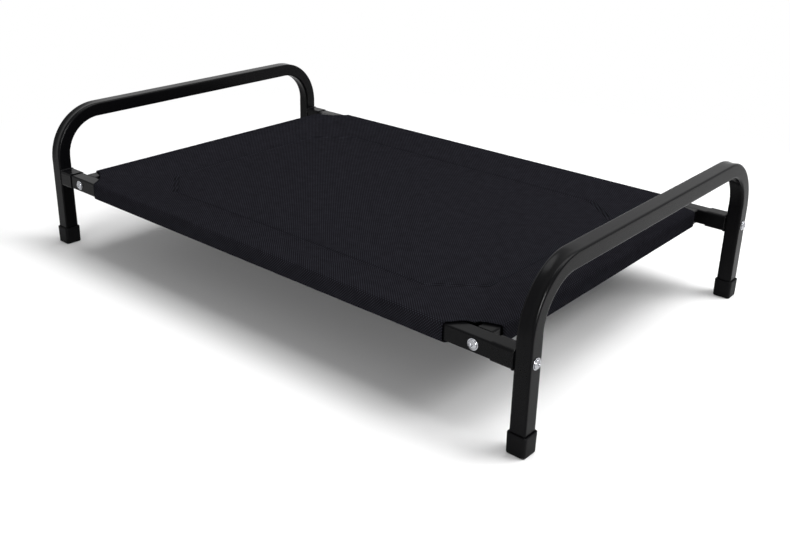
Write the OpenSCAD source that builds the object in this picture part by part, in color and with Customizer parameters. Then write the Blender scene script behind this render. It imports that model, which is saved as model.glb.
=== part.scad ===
// Raised dog bed: two bent-tube end frames, bolted rails and a stretched mesh bed.
// X runs along the bed, Y across it and Z is up. The origin is on the floor,
// under the middle of the bed. -Y is the front, -X the left end.

/* [Overall] */
// Length over the outer faces of the legs
overall_l = 850; // [700:5:1100]
// Width over the outer faces of the legs
overall_w = 534; // [440:2:700]
// Height of the top bars above the floor
overall_h = 208; // [170:1:270]
// Height of the middle of the rails above the floor
rail_h = 107; // [70:1:130]

/* [Tube] */
// Outside width of the square tube
tube_w = 20; // [16:0.5:25]
// Wall of the square tube
tube_wall = 1; // [0.8:0.1:2]
// Outside radius along the edges of the tube
tube_r = 2; // [1.5:0.1:3]
// Outside radius of the bends of the end frames
bend_r = 75; // [50:1:95]

/* [Rails] */
// Gap between a leg and the cross rail beside it
cross_inset = 40; // [34:1:70]
// Length of the sockets welded to the legs
socket_l = 28; // [18:1:30]
// Wall of a socket
socket_wall = 1; // [0.8:0.1:2]
// Gap between a socket and the rail in it, on each side
socket_gap = 0.2; // [0.1:0.05:0.4]
// Length of the threaded plugs in the rail ends
plug_l = 28; // [20:1:32]
// Gap between a plug and the tube around it, on each side
plug_gap = 0.1; // [0.05:0.05:0.3]

/* [Feet] */
// Height of the foot caps
cap_h = 25; // [15:1:40]
// Wall of a foot cap around the leg
cap_wall = 2.1; // [1.5:0.1:4]
// Thickness of a foot cap under the leg
cap_floor = 3; // [2:0.5:6]
// Radius along the upright edges of a foot cap
cap_r = 3.4; // [2.5:0.1:4]

/* [Fasteners] */
// Diameter of the bolts
bolt_d = 6; // [4:0.5:8]
// Length of a bolt under its head
bolt_l = 45; // [40:1:50]
// Width of a bolt head
head_d = 10.8; // [9.5:0.1:14]
// Height of the straight rim of a bolt head
head_rim = 0.8; // [0.5:0.1:2]
// Height of the dome of a bolt head
head_dome = 2.2; // [1.5:0.1:3]
// Length of each slot of the cross recess
recess_l = 5.4; // [3:0.1:7]
// Width of each slot of the cross recess
recess_w = 1.2; // [0.8:0.1:2]
// Depth of the cross recess
recess_depth = 1.6; // [1:0.1:2]
// Outside diameter of the washers
washer_d = 13.4; // [12:0.1:18]
// Thickness of the washers
washer_t = 1; // [0.8:0.1:2]
// Gap between a bolt and a plain hole, on each side
hole_gap = 0.2; // [0.1:0.05:0.5]
// Gap between a bolt and its threaded plug, on each side
thread_gap = 0.05; // [0.02:0.01:0.1]

/* [Fabric] */
// Thickness of the mesh fabric
fabric_t = 1; // [0.6:0.1:2]
// Gap between the fabric and the rails
fabric_gap = 0.3; // [0.1:0.1:0.6]
// Radius of the scoop cut out of each corner
scoop_r = 74; // [66:1:84]
// Distance of the scoop's centre outside the end of the fabric
scoop_out_x = 15; // [5:1:25]
// Distance of the scoop's centre outside the side of the fabric
scoop_out_y = 35; // [25:1:45]
// Length of the seam round the middle of the bed
seam_l = 580; // [400:5:640]
// Width of the seam round the middle of the bed
seam_w = 390; // [250:5:420]
// Length that each cut corner takes off the seam's long sides
seam_cut_l = 60; // [20:1:90]
// Width that each cut corner takes off the seam's ends
seam_cut_w = 50; // [20:1:90]
// Width of the lap inside the seam, where the two layers lie on each other
seam_lap = 8; // [6:1:15]

/* [Hidden] */

$fn = 48;
// How far a cutter runs past the face that it cuts
past = 1;

steel_black = "#1d1d1f";
rubber_black = "#151515";
plastic_grey = "#3a3a3c";
zinc_silver = "#c8c9cc";
mesh_black = "#202022";

// Middle of the legs and of the rails
half_tube = tube_w / 2;
leg_x = overall_l / 2 - half_tube;
leg_y = overall_w / 2 - half_tube;
leg_inner_x = leg_x - half_tube;
cross_x = leg_inner_x - cross_inset - half_tube;
cross_half_l = leg_y - half_tube;

// Bends of the end frames
bend_axis_r = bend_r - half_tube;
bend_y = overall_w / 2 - bend_r;
bend_z = overall_h - bend_r;

// Holes for the bolts
hole_r = bolt_d / 2 + hole_gap;
thread_r = bolt_d / 2 + thread_gap;

// Fabric around the rails, measured from the middle of a rail
sleeve_in = half_tube + fabric_gap;
sleeve_out = sleeve_in + fabric_t;
bed_half_l = cross_x + sleeve_out;
bed_half_w = leg_y + sleeve_out;
bed_z = rail_h + sleeve_in;
// Inner edges of the rails, where the fabric leaves them
edge_x = cross_x - half_tube;
edge_y = leg_y - half_tube;

// Square with round corners, about the origin
module round_square(w, r) {
    square([w - 2 * r, w], center = true);
    square([w, w - 2 * r], center = true);
    for (x = [-1, 1], y = [-1, 1])
        translate([x * (w / 2 - r), y * (w / 2 - r)]) circle(r);
}

// Straight bar of round_square section along Z, from z = 0
module square_bar(l, w, r) {
    linear_extrude(l) round_square(w, r);
}

// What its children draw along Z is turned to run along X or along Y
module along_x() {
    rotate([0, 90, 0]) children();
}
module along_y() {
    rotate([-90, 0, 0]) children();
}

// Moves a piece made at the rear right corner to the corner on the given sides
module corner(side_x, side_y) {
    mirror([side_x < 0 ? 1 : 0, 0, 0])
        mirror([0, side_y < 0 ? 1 : 0, 0])
            children();
}

// Solid path of an end frame: two legs, two quarter bends and the top bar
module frame_path(w, r, foot_z) {
    for (side = [0, 1])
        mirror([0, side, 0]) {
            translate([0, leg_y, foot_z]) square_bar(bend_z - foot_z, w, r);
            translate([0, bend_y, bend_z])
                rotate([90, 0, 90])
                    rotate_extrude(angle = 90)
                        translate([bend_axis_r, 0]) round_square(w, r);
        }
    translate([0, -bend_y, bend_z + bend_axis_r]) along_y() square_bar(2 * bend_y, w, r);
}

// Right end frame, one bent tube with a bolt hole through each leg
module end_frame() {
    color(steel_black)
        translate([leg_x, 0, 0])
            difference() {
                frame_path(tube_w, tube_r, cap_floor);
                frame_path(tube_w - 2 * tube_wall, tube_r - tube_wall, cap_floor - past);
                for (side = [-1, 1])
                    translate([-half_tube - past, side * leg_y, rail_h])
                        along_x() cylinder(h = tube_w + 2 * past, r = hole_r);
            }
}

// Square socket on the inner face of the rear right leg
module socket() {
    inner_w = tube_w + 2 * socket_gap;
    inner_r = tube_r + socket_gap;
    color(steel_black)
        translate([leg_inner_x - socket_l, leg_y, rail_h])
            along_x()
                difference() {
                    square_bar(socket_l, inner_w + 2 * socket_wall, inner_r + socket_wall);
                    translate([0, 0, -past]) square_bar(socket_l + 2 * past, inner_w, inner_r);
                }
}

// Square tube along Z, centred on z = 0
module rail_tube(l) {
    translate([0, 0, -l / 2])
        difference() {
            square_bar(l, tube_w, tube_r);
            translate([0, 0, -past]) square_bar(l + 2 * past, tube_w - 2 * tube_wall, tube_r - tube_wall);
        }
}

// Rear long rail, with a hole through it at the end of each cross rail
module long_rail() {
    color(steel_black)
        translate([0, leg_y, rail_h])
            difference() {
                along_x() rail_tube(2 * leg_inner_x);
                for (side = [-1, 1])
                    translate([side * cross_x, -half_tube - past, 0])
                        along_y() cylinder(h = tube_w + 2 * past, r = hole_r);
            }
}

// Right cross rail, between the inner faces of the long rails
module cross_rail() {
    color(steel_black)
        translate([cross_x, 0, rail_h])
            along_y() rail_tube(2 * cross_half_l);
}

// Plug with a threaded bore, from z = 0 down into a tube
module plug() {
    color(plastic_grey)
        translate([0, 0, -plug_l])
            difference() {
                square_bar(plug_l, tube_w - 2 * tube_wall - 2 * plug_gap, tube_r);
                translate([0, 0, -past]) cylinder(h = plug_l + 2 * past, r = thread_r);
            }
}

module rail_plug() {
    translate([leg_inner_x, leg_y, rail_h]) along_x() plug();
}

module cross_plug() {
    translate([cross_x, cross_half_l, rail_h]) along_y() plug();
}

// Cap pushed over the end of the rear right leg
module foot_cap() {
    color(rubber_black)
        translate([leg_x, leg_y, 0])
            difference() {
                square_bar(cap_h, tube_w + 2 * cap_wall, cap_r);
                translate([0, 0, cap_floor]) square_bar(cap_h, tube_w, tube_r);
            }
}

// Plain washer standing on z = 0
module washer() {
    color(zinc_silver)
        difference() {
            cylinder(h = washer_t, d = washer_d);
            translate([0, 0, -past]) cylinder(h = washer_t + 2 * past, r = hole_r);
        }
}

// Round-head bolt on a washer that stands on z = 0, its shank pointing down
module bolt() {
    dome_r = (pow(head_d / 2, 2) + pow(head_dome, 2)) / (2 * head_dome);
    head_h = head_rim + head_dome;
    color(zinc_silver)
        translate([0, 0, washer_t])
            difference() {
                union() {
                    translate([0, 0, -bolt_l]) cylinder(h = bolt_l, d = bolt_d);
                    intersection() {
                        cylinder(h = head_h, d = head_d);
                        translate([0, 0, head_h - dome_r]) sphere(dome_r);
                    }
                }
                for (turn = [0, 90])
                    rotate(turn)
                        translate([-recess_l / 2, -recess_w / 2, head_h - recess_depth])
                            cube([recess_l, recess_w, recess_depth + past]);
            }
}

// Puts its children on the outer face of the rear right leg, pointing out along X
module on_leg() {
    translate([overall_l / 2, leg_y, rail_h]) along_x() children();
}

// Puts its children on the outer face of the rear rail, at the cross rail
module on_rail() {
    translate([cross_x, overall_w / 2, rail_h]) along_y() children();
}

module leg_bolt() { on_leg() bolt(); }
module leg_washer() { on_leg() washer(); }
module rail_bolt() { on_rail() bolt(); }
module rail_washer() { on_rail() washer(); }

// The four scoops that bare the corners of the bed, from z = 0 up
module corner_scoops() {
    for (x = [-1, 1], y = [-1, 1])
        translate([x * (bed_half_l + scoop_out_x), y * (bed_half_w + scoop_out_y), 0])
            cylinder(h = overall_h, r = scoop_r, $fn = 96);
}

// Outline of the seam, a rectangle with its corners cut off
module seam_outline() {
    x = seam_l / 2;
    y = seam_w / 2;
    polygon([
        [x, y - seam_cut_w], [x - seam_cut_l, y], [-x + seam_cut_l, y], [-x, y - seam_cut_w],
        [-x, -y + seam_cut_w], [-x + seam_cut_l, -y], [x - seam_cut_l, -y], [x, -y + seam_cut_w]
    ]);
}

// Block with a flat top and, below, a dish from the rails' inner top edges to the seam.
// The dish's middle is at the height of the rails' middle, raised by lift.
module dish_block(lift, h) {
    hull() {
        translate([0, 0, rail_h + lift]) linear_extrude(h) seam_outline();
        translate([-edge_x, -edge_y, bed_z + lift]) cube([2 * edge_x, 2 * edge_y, h]);
    }
}

// Sheet of fabric in the shape of the dish
module dish_skin() {
    difference() {
        dish_block(0, fabric_t);
        dish_block(fabric_t, past);
    }
}

// Top layer of the bed: flat on the rails, then down to the seam and flat inside it
module bed_sheet() {
    color(mesh_black)
        difference() {
            union() {
                dish_skin();
                difference() {
                    translate([-bed_half_l, -bed_half_w, bed_z])
                        cube([2 * bed_half_l, 2 * bed_half_w, fabric_t]);
                    translate([-edge_x, -edge_y, bed_z - past])
                        cube([2 * edge_x, 2 * edge_y, fabric_t + 2 * past]);
                }
            }
            corner_scoops();
        }
}

// Lower layer of the bed: the dish upside down, open inside the lap of the seam
module under_skin() {
    difference() {
        translate([0, 0, 2 * rail_h]) mirror([0, 0, 1]) dish_skin();
        linear_extrude(overall_h) offset(delta = -seam_lap) seam_outline();
    }
}

// Quarters of the lower layer, from the middle of the bed to a side or to an end
module side_quarter() {
    x = (seam_l - seam_cut_l) / 2;
    y = (seam_w - seam_cut_w) / 2;
    linear_extrude(overall_h) polygon([[0, 0], [x, y], [edge_x, edge_y], [-edge_x, edge_y], [-x, y]]);
}
module end_quarter() {
    x = (seam_l - seam_cut_l) / 2;
    y = (seam_w - seam_cut_w) / 2;
    linear_extrude(overall_h) polygon([[0, 0], [x, -y], [edge_x, -edge_y], [edge_x, edge_y], [x, y]]);
}

// Section of the fabric down the outside of a rail and under it.
// The rail's middle is the origin, +X points away from the bed and +Y up.
module wrap_section() {
    turn_r = tube_r + fabric_gap;
    turn_at = half_tube - tube_r;
    translate([sleeve_in, -turn_at]) square([fabric_t, sleeve_in + turn_at]);
    translate([-half_tube, -sleeve_out]) square([half_tube + turn_at, fabric_t]);
    translate([turn_at, -turn_at])
        intersection() {
            difference() {
                circle(turn_r + fabric_t);
                circle(turn_r);
            }
            translate([0, -turn_r - fabric_t]) square(turn_r + fabric_t);
        }
}

// Fabric round the rear rail and back to the seam under the bed
module long_sleeve() {
    color(mesh_black)
        difference() {
            union() {
                translate([-edge_x, leg_y, rail_h])
                    rotate([90, 0, 90]) linear_extrude(2 * edge_x) wrap_section();
                intersection() {
                    under_skin();
                    side_quarter();
                }
            }
            corner_scoops();
        }
}

// Fabric round the right cross rail and back to the seam under the bed
module end_sleeve() {
    color(mesh_black)
        difference() {
            union() {
                translate([cross_x, edge_y, rail_h])
                    rotate([90, 0, 0]) linear_extrude(2 * edge_y) wrap_section();
                intersection() {
                    under_skin();
                    end_quarter();
                }
            }
            corner_scoops();
        }
}

corner(-1, 1) end_frame();  // left_end_frame
corner(1, 1) end_frame();  // right_end_frame
corner(-1, -1) socket();  // socket_front_left
corner(1, -1) socket();  // socket_front_right
corner(-1, 1) socket();  // socket_rear_left
corner(1, 1) socket();  // socket_rear_right
corner(1, -1) long_rail();  // front_rail
corner(1, 1) long_rail();  // rear_rail
corner(-1, 1) cross_rail();  // left_cross_rail
corner(1, 1) cross_rail();  // right_cross_rail
corner(-1, -1) rail_plug();  // rail_plug_front_left
corner(1, -1) rail_plug();  // rail_plug_front_right
corner(-1, 1) rail_plug();  // rail_plug_rear_left
corner(1, 1) rail_plug();  // rail_plug_rear_right
corner(-1, -1) cross_plug();  // cross_plug_front_left
corner(1, -1) cross_plug();  // cross_plug_front_right
corner(-1, 1) cross_plug();  // cross_plug_rear_left
corner(1, 1) cross_plug();  // cross_plug_rear_right
corner(-1, -1) foot_cap();  // foot_cap_front_left
corner(1, -1) foot_cap();  // foot_cap_front_right
corner(-1, 1) foot_cap();  // foot_cap_rear_left
corner(1, 1) foot_cap();  // foot_cap_rear_right
corner(-1, -1) leg_bolt();  // leg_bolt_front_left
corner(1, -1) leg_bolt();  // leg_bolt_front_right
corner(-1, 1) leg_bolt();  // leg_bolt_rear_left
corner(1, 1) leg_bolt();  // leg_bolt_rear_right
corner(-1, -1) leg_washer();  // leg_washer_front_left
corner(1, -1) leg_washer();  // leg_washer_front_right
corner(-1, 1) leg_washer();  // leg_washer_rear_left
corner(1, 1) leg_washer();  // leg_washer_rear_right
corner(-1, -1) rail_bolt();  // rail_bolt_front_left
corner(1, -1) rail_bolt();  // rail_bolt_front_right
corner(-1, 1) rail_bolt();  // rail_bolt_rear_left
corner(1, 1) rail_bolt();  // rail_bolt_rear_right
corner(-1, -1) rail_washer();  // rail_washer_front_left
corner(1, -1) rail_washer();  // rail_washer_front_right
corner(-1, 1) rail_washer();  // rail_washer_rear_left
corner(1, 1) rail_washer();  // rail_washer_rear_right
bed_sheet();
corner(1, -1) long_sleeve();  // front_sleeve
corner(1, 1) long_sleeve();  // rear_sleeve
corner(-1, 1) end_sleeve();  // left_sleeve
corner(1, 1) end_sleeve();  // right_sleeve
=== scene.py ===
"""Raised dog bed: finishes, cloth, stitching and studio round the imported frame.

The frame is in metres, X along the bed, Y across it and Z up, with -Y at the front.
"""

import math

import bpy
import numpy as np
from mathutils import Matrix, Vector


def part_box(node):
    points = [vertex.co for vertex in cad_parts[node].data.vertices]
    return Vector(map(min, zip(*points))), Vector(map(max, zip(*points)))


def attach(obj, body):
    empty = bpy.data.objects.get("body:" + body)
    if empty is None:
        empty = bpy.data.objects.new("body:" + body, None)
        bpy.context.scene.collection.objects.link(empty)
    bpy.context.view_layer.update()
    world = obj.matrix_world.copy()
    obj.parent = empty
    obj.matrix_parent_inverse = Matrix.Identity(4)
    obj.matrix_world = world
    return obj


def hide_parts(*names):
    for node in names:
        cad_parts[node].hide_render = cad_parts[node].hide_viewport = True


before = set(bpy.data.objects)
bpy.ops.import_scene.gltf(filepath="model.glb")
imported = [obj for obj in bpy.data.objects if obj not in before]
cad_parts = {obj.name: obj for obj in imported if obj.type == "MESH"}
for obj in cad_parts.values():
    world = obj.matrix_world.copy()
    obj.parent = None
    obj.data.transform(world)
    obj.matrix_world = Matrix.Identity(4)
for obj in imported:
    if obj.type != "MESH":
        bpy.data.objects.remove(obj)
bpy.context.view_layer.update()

bl_info = {
    "name": "Raised Dog Bed",
    "version": (1, 0, 0),
    "blender": (4, 5, 0),
    "location": "View3D > Sidebar > Dog Bed",
    "description": "Steel, cloth, stitching and studio of a raised dog bed",
    "category": "Add Mesh",
}

MM = 0.001
SIDES = (-1, 1)
SIDE_X = {-1: "left", 1: "right"}
SIDE_Y = {-1: "front", 1: "rear"}
CORNERS = [(x, y) for y in SIDES for x in SIDES]

# Places and sizes that come from the frame
FRAME_LOW, FRAME_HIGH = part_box("right_end_frame")
RAIL_LOW, RAIL_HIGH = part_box("rear_rail")
CROSS_LOW, CROSS_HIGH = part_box("right_cross_rail")
SOCKET_LOW, SOCKET_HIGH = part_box("socket_rear_right")
CAP_LOW, CAP_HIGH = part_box("foot_cap_rear_right")
SHEET_LOW, SHEET_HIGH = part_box("bed_sheet")
WASHER_LOW, WASHER_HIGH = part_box("leg_washer_rear_right")
BOLT_LOW, BOLT_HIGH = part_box("leg_bolt_rear_right")
TUBE_W = FRAME_HIGH.x - FRAME_LOW.x
LEG_X = (FRAME_LOW.x + FRAME_HIGH.x) / 2
LEG_Y = (RAIL_LOW.y + RAIL_HIGH.y) / 2
RAIL_Z = (RAIL_LOW.z + RAIL_HIGH.z) / 2
CROSS_X = (CROSS_LOW.x + CROSS_HIGH.x) / 2
# Inner edges of the rails, where the cloth leaves them
EDGE_X = CROSS_LOW.x
EDGE_Y = RAIL_LOW.y


def corner_name(stem, side_x, side_y):
    """Name of the piece at a corner, such as foot_cap_front_left."""
    return f"{stem}_{SIDE_Y[side_y]}_{SIDE_X[side_x]}"


def linear(colour):
    """Linear RGB of an sRGB hex colour."""
    parts = np.array([int(colour[i:i + 2], 16) for i in (1, 3, 5)]) / 255
    return tuple(np.where(parts <= 0.04045, parts / 12.92, ((parts + 0.055) / 1.055) ** 2.4))


class DogBedSizes(bpy.types.PropertyGroup):
    """Sizes that the frame doesn't give"""
    bend_radius: bpy.props.FloatProperty(
        name="Bend Radius", description="Outside radius of the bends of the end frames",
        default=75 * MM, unit="LENGTH")
    tube_edge: bpy.props.FloatProperty(
        name="Tube Edge", description="Outside radius along the edges of the tube",
        default=2 * MM, unit="LENGTH")
    bend_hollow: bpy.props.FloatProperty(
        name="Bend Hollow", description="Depth that bending presses into the tube's inner and outer walls",
        default=1.1 * MM, unit="LENGTH")
    bend_opening: bpy.props.FloatProperty(
        name="Bend Opening", description="Radius that bending adds to the tube's edges",
        default=1.6 * MM, unit="LENGTH")
    socket_edge: bpy.props.FloatProperty(
        name="Socket Edge", description="Outside radius along the edges of a socket, where its bead runs",
        default=3.2 * MM, unit="LENGTH")
    weld_width: bpy.props.FloatProperty(
        name="Weld Width", description="Radius of the weld bead round a socket",
        default=1.3 * MM, unit="LENGTH")
    cap_edge: bpy.props.FloatProperty(
        name="Cap Edge", description="Radius along the upright edges of a foot cap",
        default=3.4 * MM, unit="LENGTH")
    cap_draft: bpy.props.FloatProperty(
        name="Cap Draft", description="How much narrower a foot cap is at its bottom, on each side",
        default=0.3 * MM, unit="LENGTH")
    shank: bpy.props.FloatProperty(
        name="Bolt Diameter", description="Diameter of the bolts",
        default=6 * MM, unit="LENGTH")
    bolt_length: bpy.props.FloatProperty(
        name="Bolt Length", description="Length of the bolts under the head",
        default=45 * MM, unit="LENGTH")
    head_rim: bpy.props.FloatProperty(
        name="Head Rim", description="Height of the straight rim of a bolt head",
        default=0.8 * MM, unit="LENGTH")
    recess_length: bpy.props.FloatProperty(
        name="Recess Length", description="Length of each slot of the cross recess",
        default=5.4 * MM, unit="LENGTH")
    recess_width: bpy.props.FloatProperty(
        name="Recess Width", description="Width of each slot of the cross recess",
        default=1.2 * MM, unit="LENGTH")
    recess_depth: bpy.props.FloatProperty(
        name="Recess Depth", description="Depth of the cross recess",
        default=1.6 * MM, unit="LENGTH")
    cloth_thickness: bpy.props.FloatProperty(
        name="Cloth Thickness", description="Thickness of the mesh cloth",
        default=1 * MM, unit="LENGTH")
    scoop_radius: bpy.props.FloatProperty(
        name="Scoop Radius", description="Radius of the scoop cut out of each corner of the cloth",
        default=74 * MM, unit="LENGTH")
    scoop_out_x: bpy.props.FloatProperty(
        name="Scoop Out X", description="Distance of the scoop's centre outside the end of the cloth",
        default=15 * MM, unit="LENGTH")
    scoop_out_y: bpy.props.FloatProperty(
        name="Scoop Out Y", description="Distance of the scoop's centre outside the side of the cloth",
        default=35 * MM, unit="LENGTH")
    hem_width: bpy.props.FloatProperty(
        name="Hem Width", description="Distance of the hem's stitches from the edge of a scoop",
        default=6 * MM, unit="LENGTH")
    seam_length: bpy.props.FloatProperty(
        name="Seam Length", description="Length of the seam round the middle of the bed",
        default=580 * MM, unit="LENGTH")
    seam_width: bpy.props.FloatProperty(
        name="Seam Width", description="Width of the seam round the middle of the bed",
        default=390 * MM, unit="LENGTH")
    seam_cut_length: bpy.props.FloatProperty(
        name="Seam Cut Length", description="Length that a cut corner takes off the seam's long sides",
        default=60 * MM, unit="LENGTH")
    seam_cut_width: bpy.props.FloatProperty(
        name="Seam Cut Width", description="Width that a cut corner takes off the seam's ends",
        default=50 * MM, unit="LENGTH")
    seam_gap: bpy.props.FloatProperty(
        name="Seam Gap", description="Distance between the two rows of stitches",
        default=5 * MM, unit="LENGTH")
    seam_lap: bpy.props.FloatProperty(
        name="Seam Lap", description="Width of the lap inside the seam",
        default=8 * MM, unit="LENGTH")
    stitch_pitch: bpy.props.FloatProperty(
        name="Stitch Pitch", description="Distance from one stitch to the next",
        default=5 * MM, unit="LENGTH")
    stitch_length: bpy.props.FloatProperty(
        name="Stitch Length", description="Length of a stitch on the face of the cloth",
        default=3.8 * MM, unit="LENGTH")
    thread: bpy.props.FloatProperty(
        name="Thread", description="Radius of the sewing thread",
        default=0.7 * MM, unit="LENGTH")
    yarn_pitch: bpy.props.FloatProperty(
        name="Yarn Pitch", description="Distance from one yarn of the weave to the next",
        default=1.75 * MM, unit="LENGTH")


class DogBedColours(bpy.types.PropertyGroup):
    """Colours of the finishes, of the painted shade between the cloth's yarns, and of the floor"""
    steel: bpy.props.FloatVectorProperty(
        name="Steel", description="Colour of the powder coat",
        default=linear("#060607"), subtype="COLOR", size=3)
    yarn: bpy.props.FloatVectorProperty(
        name="Yarn", description="Colour of the yarns of the cloth",
        default=linear("#2e2e34"), subtype="COLOR", size=3)
    # Painted shade: the dark colour drawn in the gaps between the yarns stands for the shade in and
    # through the open weave
    painted_gap_shade: bpy.props.FloatVectorProperty(
        name="Painted Gap Shade", description="Colour in the gaps between the yarns",
        default=linear("#050506"), subtype="COLOR", size=3)
    thread: bpy.props.FloatVectorProperty(
        name="Thread", description="Colour of the sewing thread",
        default=linear("#060607"), subtype="COLOR", size=3)
    rubber: bpy.props.FloatVectorProperty(
        name="Rubber", description="Colour of the foot caps",
        default=linear("#060607"), subtype="COLOR", size=3)
    nylon: bpy.props.FloatVectorProperty(
        name="Nylon", description="Colour of the plugs inside the tubes",
        default=linear("#3a3a3c"), subtype="COLOR", size=3)
    zinc: bpy.props.FloatVectorProperty(
        name="Zinc", description="Colour of the bolts and washers",
        default=linear("#a4a5a9"), subtype="COLOR", size=3)
    floor: bpy.props.FloatVectorProperty(
        name="Floor", description="Colour of the studio floor",
        default=linear("#f4f4f4"), subtype="COLOR", size=3)


# Meshes: each part is (points, quads, triangles, uv)

def grid_part(points, closed=False, start_cap=False, end_cap=False, uv=None):
    """Surface through a grid of points, rows by columns.

    A closed grid joins its last column to the first. A cap joins a whole end row to its middle.
    """
    rows, columns = points.shape[:2]
    index = np.arange(rows * columns).reshape(rows, columns)
    near = np.concatenate([index, index[:, :1]], 1) if closed else index
    quads = np.stack([near[:-1, :-1], near[:-1, 1:], near[1:, 1:], near[1:, :-1]], -1).reshape(-1, 4)
    flat = points.reshape(-1, 3)
    triangles = np.zeros((0, 3), int)
    for wanted, row, order in ((start_cap, 0, 1), (end_cap, -1, -1)):
        if wanted:
            hub = np.full(columns, len(flat))
            fan = np.stack([hub, near[row, 1:], near[row, :-1]][::order], -1)
            triangles = np.concatenate([triangles, fan])
            flat = np.concatenate([flat, points[row].mean(0)[None]])
            if uv is not None:
                uv = np.concatenate([uv.reshape(-1, 2), uv.reshape(rows, columns, 2)[row].mean(0)[None]])
    if uv is not None:
        uv = uv.reshape(-1, 2)
    return flat, quads, triangles, uv


def outward(part):
    """The closed part with its faces turned outwards, by the sign of its volume."""
    points, quads, triangles, uv = part
    faces = np.concatenate([quads[:, [0, 1, 2]], quads[:, [0, 2, 3]], triangles])
    a, b, c = (points[faces[:, i]] for i in range(3))
    if np.einsum("ij,ij->", a, np.cross(b, c)) < 0:
        quads, triangles = quads[:, ::-1], triangles[:, ::-1]
    return points, quads, triangles, uv


def join_parts(parts):
    """One part from several, with points in the same place made one and UVs at the faces' corners."""
    counts = np.cumsum([0] + [len(part[0]) for part in parts])
    points = np.concatenate([part[0] for part in parts])
    quads = np.concatenate([part[1] + first for part, first in zip(parts, counts)])
    triangles = np.concatenate([part[2] + first for part, first in zip(parts, counts)])
    uv = None if parts[0][3] is None else np.concatenate([part[3] for part in parts])
    keys = np.round(points / (0.001 * MM)).astype(np.int64)
    _, kept, merged = np.unique(keys, axis=0, return_index=True, return_inverse=True)
    merged = merged.reshape(-1)
    corner_uv = None
    if uv is not None:
        corner_uv = np.concatenate([uv[quads].reshape(-1, 2), uv[triangles].reshape(-1, 2)])
    return points[kept], merged[quads], merged[triangles], corner_uv


def add_piece(name, part, material, replaced=()):
    """Mesh object of a part, riding on the bed, with smooth faces."""
    points, quads, triangles, uv = part
    mesh = bpy.data.meshes.new(name)
    mesh.from_pydata(points.tolist(), [], quads.tolist() + triangles.tolist())
    if uv is not None:
        layer = mesh.uv_layers.new(name="Cloth")
        layer.data.foreach_set("uv", uv.astype(np.float32).ravel())
    mesh.materials.append(material)
    mesh.polygons.foreach_set("use_smooth", np.ones(len(mesh.polygons), bool))
    mesh.update()
    piece = bpy.data.objects.new(name, mesh)
    bpy.context.scene.collection.objects.link(piece)
    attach(piece, "root")
    if replaced:
        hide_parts(*replaced)
    return piece


def dress(names, material):
    """Gives CAD nodes a finish."""
    for name in names:
        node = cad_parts[name]
        node.data.materials.clear()
        node.data.materials.append(material)


def rounded_square(half, radius, corner_steps=6, side_steps=6):
    """Closed outline of a square of half-width half: straight runs joined by quarter circles.

    Half and radius may be columns, for one outline on each row.
    """
    half, radius = np.atleast_1d(half)[:, None], np.atleast_1d(radius)[:, None]
    turn = np.linspace(0, np.pi / 2, corner_steps + 1)
    run = np.linspace(-1, 1, side_steps + 1)[1:-1]
    flat = half - radius
    corner_a, corner_b = flat + radius * np.cos(turn), flat + radius * np.sin(turn)
    side_a, side_b = half + 0 * run, flat * run
    a, b = np.concatenate([side_a, corner_a], 1), np.concatenate([side_b, corner_b], 1)
    return np.concatenate([
        np.stack([a, b], -1), np.stack([-b, a], -1), np.stack([-a, -b], -1), np.stack([b, -a], -1)], 1)


# Materials

def add_node(tree, kind, inputs=None, **settings):
    """Adds one node with its settings, input values and links."""
    made = tree.nodes.new(kind)
    for name, value in settings.items():
        setattr(made, name, value)
    for socket, value in (inputs or {}).items():
        if isinstance(value, bpy.types.NodeSocket):
            tree.links.new(value, made.inputs[socket])
        else:
            made.inputs[socket].default_value = value
    return made


def new_material(name):
    """Material with an empty node tree and its output node."""
    material = bpy.data.materials.new(name)
    material.use_nodes = True
    material.node_tree.nodes.clear()
    return material, material.node_tree, add_node(material.node_tree, "ShaderNodeOutputMaterial")


def powder_coated_steel(colours):
    """Black powder coat, sprayed and baked: satin, with the fine ripple of orange peel."""
    material, tree, output = new_material("black_powder_coat")
    place = add_node(tree, "ShaderNodeTexCoord").outputs["Object"]
    # Peel about 1.4 mm across, drawn a little coarser than the real 1 mm so that it shows
    peel = add_node(tree, "ShaderNodeTexNoise", {
        "Vector": place, "Scale": 1 / (1.4 * MM), "Detail": 2.0, "Roughness": 0.5})
    cloud = add_node(tree, "ShaderNodeTexNoise", {
        "Vector": place, "Scale": 1 / (60 * MM), "Detail": 3.0})
    rough = add_node(tree, "ShaderNodeMapRange", {
        "Value": cloud.outputs["Fac"], "To Min": 0.2, "To Max": 0.3})
    bump = add_node(tree, "ShaderNodeBump", {
        "Height": peel.outputs["Fac"], "Strength": 0.25, "Distance": 0.1 * MM})
    base = (*colours.steel, 1.0)
    lighter = (*[min(1.0, 1.5 * c) for c in colours.steel], 1.0)
    tint = add_node(tree, "ShaderNodeMix", data_type="RGBA")
    tree.links.new(peel.outputs["Fac"], tint.inputs["Factor"])
    tint.inputs[6].default_value = base
    tint.inputs[7].default_value = lighter
    shader = add_node(tree, "ShaderNodeBsdfPrincipled", {
        "Base Color": tint.outputs[2], "Roughness": rough.outputs["Result"],
        "Normal": bump.outputs["Normal"], "IOR": 1.5, "Specular IOR Level": 0.06})
    tree.links.new(shader.outputs["BSDF"], output.inputs["Surface"])
    return material


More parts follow.
